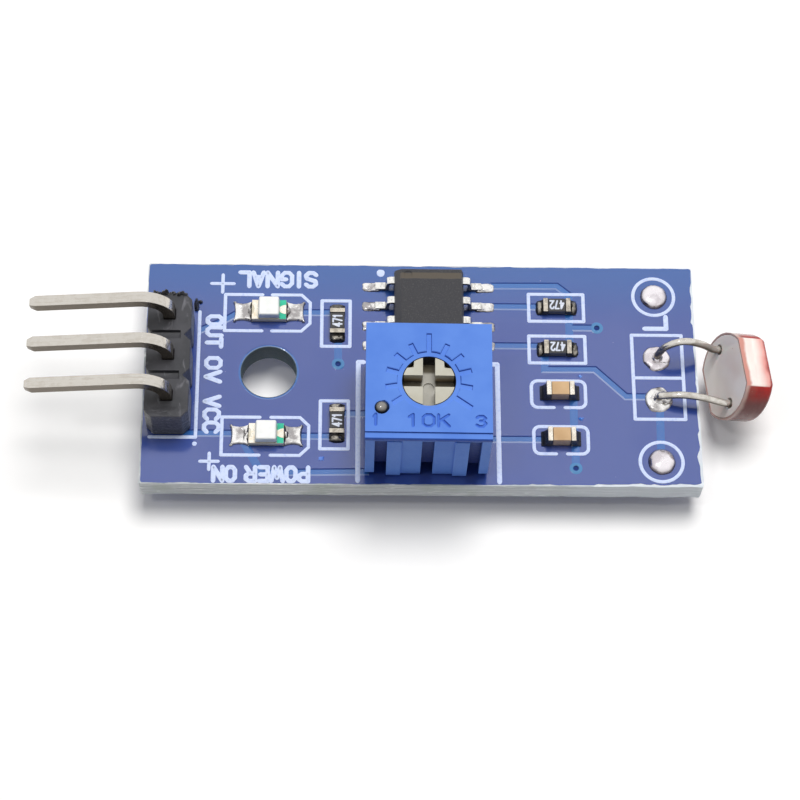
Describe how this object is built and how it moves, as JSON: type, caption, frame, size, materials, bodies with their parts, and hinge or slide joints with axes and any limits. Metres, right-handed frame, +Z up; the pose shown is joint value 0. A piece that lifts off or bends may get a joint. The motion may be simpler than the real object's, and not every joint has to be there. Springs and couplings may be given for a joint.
{
  "type": "light sensor module",
  "caption": "Small circuit board that compares a photoresistor's light level with a trimmer's setting and reports it at a pin header.",
  "frame": {"origin": "centre of the board's underside", "axes": "+X along the board to the photoresistor, +Y to the long edge beside the comparator, +Z up through the components"},
  "size_m": [0.0422, 0.014, 0.0087],
  "materials": {
    "solder_mask": "blue solder mask, satin",
    "header_plastic": "moulded, slightly rough",
    "plated_pins": "tin plated",
    "tinned_leads": "tin plated",
    "solder": "bright solder",
    "package_epoxy": "moulded, fine grain",
    "trimmer_plastic": "moulded, satin",
    "rotor_plastic": "moulded, satin",
    "wiper_spring": "bright spring metal",
    "seal_rubber": "smooth",
    "element_ceramic": "fired ceramic",
    "base_epoxy": "cast",
    "ball_steel": "polished",
    "led_base": "moulded",
    "led_lens": "clear resin",
    "resistor_glaze": "glazed",
    "capacitor_ceramic": "fired ceramic",
    "sensor_ceramic": "fired ceramic, fine grain",
    "sensor_coat": "glossy clear-red coat",
    "sensor_track": "printed film"
  },
  "bodies": {
    "module": {"circuit_board": "solder_mask", "header_insulator": "header_plastic", "header_pin_1": "plated_pins", "header_pin_2": "plated_pins", "header_pin_3": "plated_pins", "comparator_package": "package_epoxy", "comparator_lead_1": "tinned_leads", "comparator_lead_2": "tinned_leads", "comparator_lead_3": "tinned_leads", "comparator_lead_4": "tinned_leads", "comparator_lead_5": "tinned_leads", "comparator_lead_6": "tinned_leads", "comparator_lead_7": "tinned_leads", "comparator_lead_8": "tinned_leads", "trimmer_housing": "trimmer_plastic", "trimmer_seal_ring": "seal_rubber", "trimmer_element": "element_ceramic", "trimmer_base": "base_epoxy", "trimmer_plug_ball": "ball_steel", "trimmer_pin_1": "plated_pins", "trimmer_pin_2": "plated_pins", "trimmer_pin_3": "plated_pins", "signal_led_base": "led_base", "signal_led_lens": "led_lens", "signal_led_solder_a": "solder", "signal_led_solder_b": "solder", "power_led_base": "led_base", "power_led_lens": "led_lens", "power_led_solder_a": "solder", "power_led_solder_b": "solder", "led_resistor_1_body": "resistor_glaze", "led_resistor_1_end_a": "solder", "led_resistor_1_end_b": "solder", "led_resistor_2_body": "resistor_glaze", "led_resistor_2_end_a": "solder", "led_resistor_2_end_b": "solder", "divider_resistor_body": "resistor_glaze", "divider_resistor_end_a": "solder", "divider_resistor_end_b": "solder", "pullup_resistor_body": "resistor_glaze", "pullup_resistor_end_a": "solder", "pullup_resistor_end_b": "solder", "filter_capacitor_1_body": "capacitor_ceramic", "filter_capacitor_1_end_a": "solder", "filter_capacitor_1_end_b": "solder", "filter_capacitor_2_body": "capacitor_ceramic", "filter_capacitor_2_end_a": "solder", "filter_capacitor_2_end_b": "solder", "spare_pad_solder_1": "solder", "spare_pad_solder_2": "solder", "photoresistor_disc": "sensor_ceramic", "photoresistor_coat": "sensor_coat", "photoresistor_track": "sensor_track", "photoresistor_lead_1": "tinned_leads", "photoresistor_lead_2": "tinned_leads", "photoresistor_solder_1": "solder", "photoresistor_solder_2": "solder"},
    "rotor": {"trimmer_rotor": "rotor_plastic", "trimmer_wiper": "wiper_spring"}
  },
  "joints": [
    {"name": "rotor_turn", "type": "hinge", "parent": "module", "child": "rotor", "pos_m": [0.00024, -0.00293, 0.006], "axis": [0, 0, 1], "range_deg": [-125, 125]}
  ]
}
